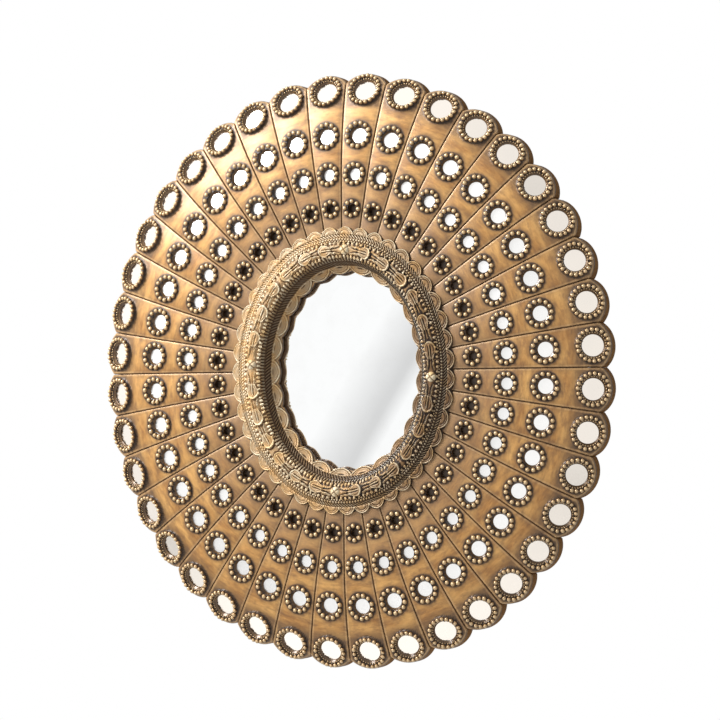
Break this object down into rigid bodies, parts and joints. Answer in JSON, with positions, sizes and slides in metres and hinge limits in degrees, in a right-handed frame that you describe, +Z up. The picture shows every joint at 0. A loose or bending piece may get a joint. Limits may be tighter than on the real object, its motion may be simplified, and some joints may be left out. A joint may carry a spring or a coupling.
{
  "type": "convex wall mirror",
  "caption": "Oval sunburst wall mirror: a convex glass in a carved ring, with radiating wedge petals that carry beaded rosettes and small round mirrors.",
  "frame": {"origin": "centre of the oval, on the wall plane that the rubber bumpers touch", "axes": "+Z up, the mirror's front faces -Y, +X to the right for someone who looks at the mirror"},
  "size_m": [0.693, 0.0533, 0.7506],
  "materials": {
    "petal_finish": "carved wood under worn antique brass paint, satin",
    "ring_finish": "cast resin, dry-brushed pale brass over dark grey-brown",
    "centre_glass": "silvered convex glass",
    "small_glass": "silvered flat glass",
    "board": "fibreboard, dark stained",
    "hardboard": "hardboard, brown",
    "zinc_steel": "zinc plated steel",
    "screw_steel": "yellow zinc plated steel",
    "bumper_rubber": "matt black rubber"
  },
  "bodies": {
    "mirror": {"petal_01": "petal_finish", "petal_02": "petal_finish", "petal_03": "petal_finish", "petal_04": "petal_finish", "petal_05": "petal_finish", "petal_06": "petal_finish", "petal_07": "petal_finish", "petal_08": "petal_finish", "petal_09": "petal_finish", "petal_10": "petal_finish", "petal_11": "petal_finish", "petal_12": "petal_finish", "petal_13": "petal_finish", "petal_14": "petal_finish", "petal_15": "petal_finish", "petal_16": "petal_finish", "petal_17": "petal_finish", "petal_18": "petal_finish", "petal_19": "petal_finish", "petal_20": "petal_finish", "petal_21": "petal_finish", "petal_22": "petal_finish", "petal_23": "petal_finish", "petal_24": "petal_finish", "petal_25": "petal_finish", "petal_26": "petal_finish", "petal_27": "petal_finish", "petal_28": "petal_finish", "petal_29": "petal_finish", "petal_30": "petal_finish", "petal_31": "petal_finish", "petal_32": "petal_finish", "petal_33": "petal_finish", "petal_34": "petal_finish", "petal_35": "petal_finish", "petal_36": "petal_finish", "petal_37": "petal_finish", "petal_38": "petal_finish", "petal_39": "petal_finish", "petal_40": "petal_finish", "centre_ring": "ring_finish", "centre_mirror": "centre_glass", "outer_row_mirrors": "small_glass", "middle_row_mirrors": "small_glass", "inner_row_mirrors": "small_glass", "back_board": "board", "glass_backing": "hardboard", "backing_clips": "zinc_steel", "clip_screws": "screw_steel", "petal_screws": "screw_steel", "ring_screws": "screw_steel", "hanger_screws": "screw_steel", "wall_bumpers": "bumper_rubber", "hanger_strap_left": "zinc_steel", "hanger_strap_right": "zinc_steel"},
    "hanger_ring_left": {"hanger_ring_left": "zinc_steel"},
    "hanger_ring_right": {"hanger_ring_right": "zinc_steel"}
  },
  "joints": [
    {"name": "hanger_ring_left_swing", "type": "hinge", "parent": "mirror", "child": "hanger_ring_left", "pos_m": [-0.166, -0.00522, 0.15], "axis": [1, 0, 0], "range_deg": [0, 180]},
    {"name": "hanger_ring_right_swing", "type": "hinge", "parent": "mirror", "child": "hanger_ring_right", "pos_m": [0.166, -0.00522, 0.15], "axis": [1, 0, 0], "range_deg": [0, 180]}
  ]
}
